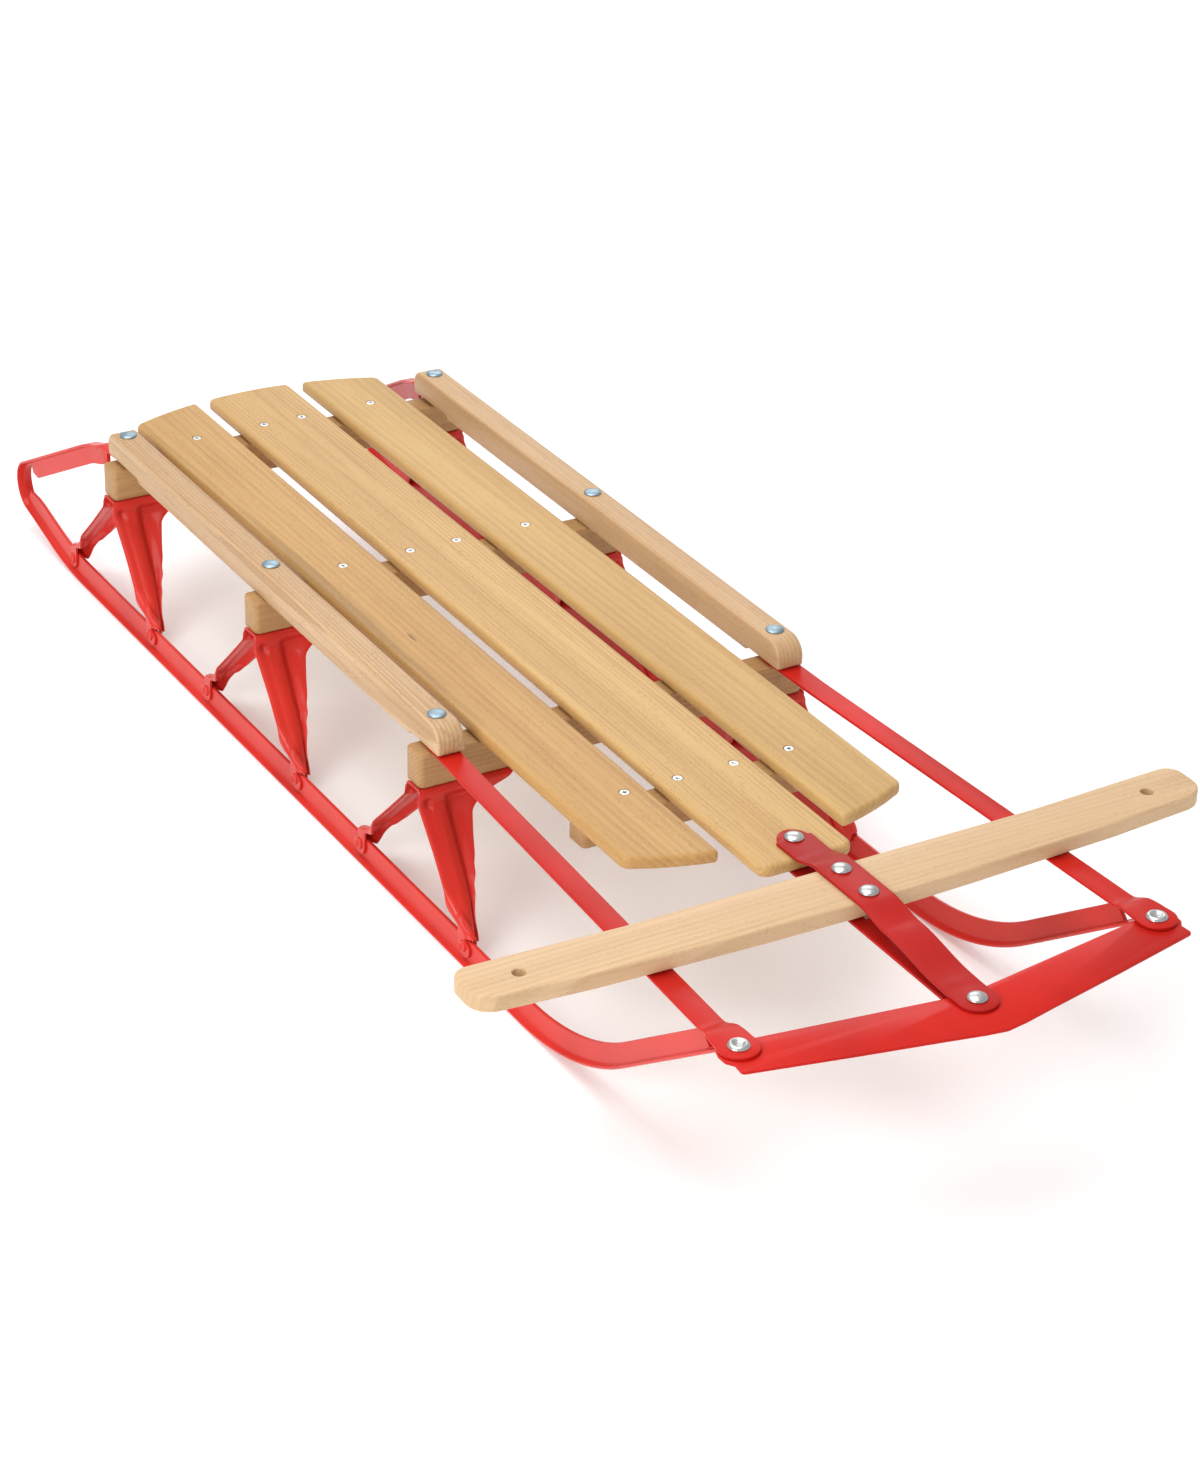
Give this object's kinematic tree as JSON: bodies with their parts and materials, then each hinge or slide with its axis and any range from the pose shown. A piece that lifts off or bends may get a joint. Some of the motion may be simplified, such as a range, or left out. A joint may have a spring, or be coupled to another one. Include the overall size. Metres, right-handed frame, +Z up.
{
  "type": "steerable runner sled",
  "caption": "Steerable wooden-deck sled: boards and side rails on pressed steel knees and T-section runners, with a pivoting handlebar that swings the front bumper.",
  "frame": {"origin": "on the ground, under the middle of the sled's length and width", "axes": "+X forwards along the boards, +Y to the rider's left, +Z up"},
  "size_m": [1.2113, 0.563, 0.153],
  "materials": {
    "beech": "clear varnish, satin, straight grain along the board",
    "pale_beech": "clear varnish, satin, grain along the bar",
    "red_enamel": "glossy red enamel on pressed and rolled steel",
    "zinc": "bright zinc plate with a faint blue cast"
  },
  "bodies": {
    "sled": {"front_bench": "beech", "front_cleat": "beech", "knee_front_left": "red_enamel", "knee_front_right": "red_enamel", "knee_middle_left": "red_enamel", "knee_middle_right": "red_enamel", "knee_rear_left": "red_enamel", "knee_rear_right": "red_enamel", "left_rail": "beech", "left_runner_rear": "red_enamel", "left_slat": "beech", "middle_bench": "beech", "middle_slat": "beech", "rail_bolt_front_left": "zinc", "rail_bolt_front_right": "zinc", "rail_bolt_middle_left": "zinc", "rail_bolt_middle_right": "zinc", "rail_bolt_rear_left": "zinc", "rail_bolt_rear_right": "zinc", "rail_nut_front_left": "zinc", "rail_nut_front_right": "zinc", "rail_nut_middle_left": "zinc", "rail_nut_middle_right": "zinc", "rail_nut_rear_left": "zinc", "rail_nut_rear_right": "zinc", "rear_bench": "beech", "right_rail": "beech", "right_runner_rear": "red_enamel", "right_slat": "beech", "slat_screw_cleat_left_inner": "zinc", "slat_screw_cleat_left_outer": "zinc", "slat_screw_cleat_right_inner": "zinc", "slat_screw_cleat_right_outer": "zinc", "slat_screw_middle_left_inner": "zinc", "slat_screw_middle_left_outer": "zinc", "slat_screw_middle_right_inner": "zinc", "slat_screw_middle_right_outer": "zinc", "slat_screw_rear_left_inner": "zinc", "slat_screw_rear_left_outer": "zinc", "slat_screw_rear_right_inner": "zinc", "slat_screw_rear_right_outer": "zinc", "steering_pivot_bolt": "zinc", "steering_pivot_nut": "zinc"},
    "steering": {"handlebar": "pale_beech", "top_link": "red_enamel", "bottom_link": "red_enamel", "handlebar_rear_bolt": "zinc", "handlebar_rear_nut": "zinc", "handlebar_front_bolt": "zinc", "handlebar_front_nut": "zinc", "bumper_centre_bolt": "zinc", "bumper_centre_nut": "zinc"},
    "strap_left": {"left_strap": "red_enamel"},
    "strap_right": {"right_strap": "red_enamel"},
    "bumper_bar": {"bumper": "red_enamel", "bumper_rivet_left": "zinc", "bumper_rivet_right": "zinc"},
    "front_left": {"left_runner_front": "red_enamel"},
    "front_right": {"right_runner_front": "red_enamel"}
  },
  "joints": [
    {"name": "steer", "type": "hinge", "parent": "sled", "child": "steering", "pos_m": [0.3603, 0, 0.1365], "axis": [0, 0, 1], "range_deg": [-8, 8], "stiffness_Nm_per_rad": 15},
    {"name": "strap_left_turn", "type": "hinge", "parent": "sled", "child": "strap_left", "pos_m": [0.1161, 0.139, 0.1265], "axis": [0, 0, 1], "range_deg": [-3.95, 3.95]},
    {"name": "strap_right_turn", "type": "hinge", "parent": "sled", "child": "strap_right", "pos_m": [0.1161, -0.139, 0.1265], "axis": [0, 0, 1], "range_deg": [-3.95, 3.95]},
    {"name": "bumper_turn", "type": "hinge", "parent": "strap_left", "child": "bumper_bar", "pos_m": [0.5464, 0.1585, 0.1301], "axis": [0, 0, 1], "range_deg": [-3.5, 3.5]},
    {"name": "runner_left_bend", "type": "hinge", "parent": "sled", "child": "front_left", "pos_m": [0.25, 0.1585, 0], "axis": [0, 0, 1], "range_deg": [-5.75, 5.75]},
    {"name": "runner_right_bend", "type": "hinge", "parent": "sled", "child": "front_right", "pos_m": [0.25, -0.1585, 0], "axis": [0, 0, 1], "range_deg": [-5.75, 5.75]}
  ],
  "couplings": [
    {"joint": "strap_left_turn", "follows": "steer", "ratio": 0.4869},
    {"joint": "strap_right_turn", "follows": "steer", "ratio": 0.4869},
    {"joint": "bumper_turn", "follows": "steer", "ratio": -0.427},
    {"joint": "runner_left_bend", "follows": "steer", "ratio": 0.7068},
    {"joint": "runner_right_bend", "follows": "steer", "ratio": 0.7068}
  ]
}
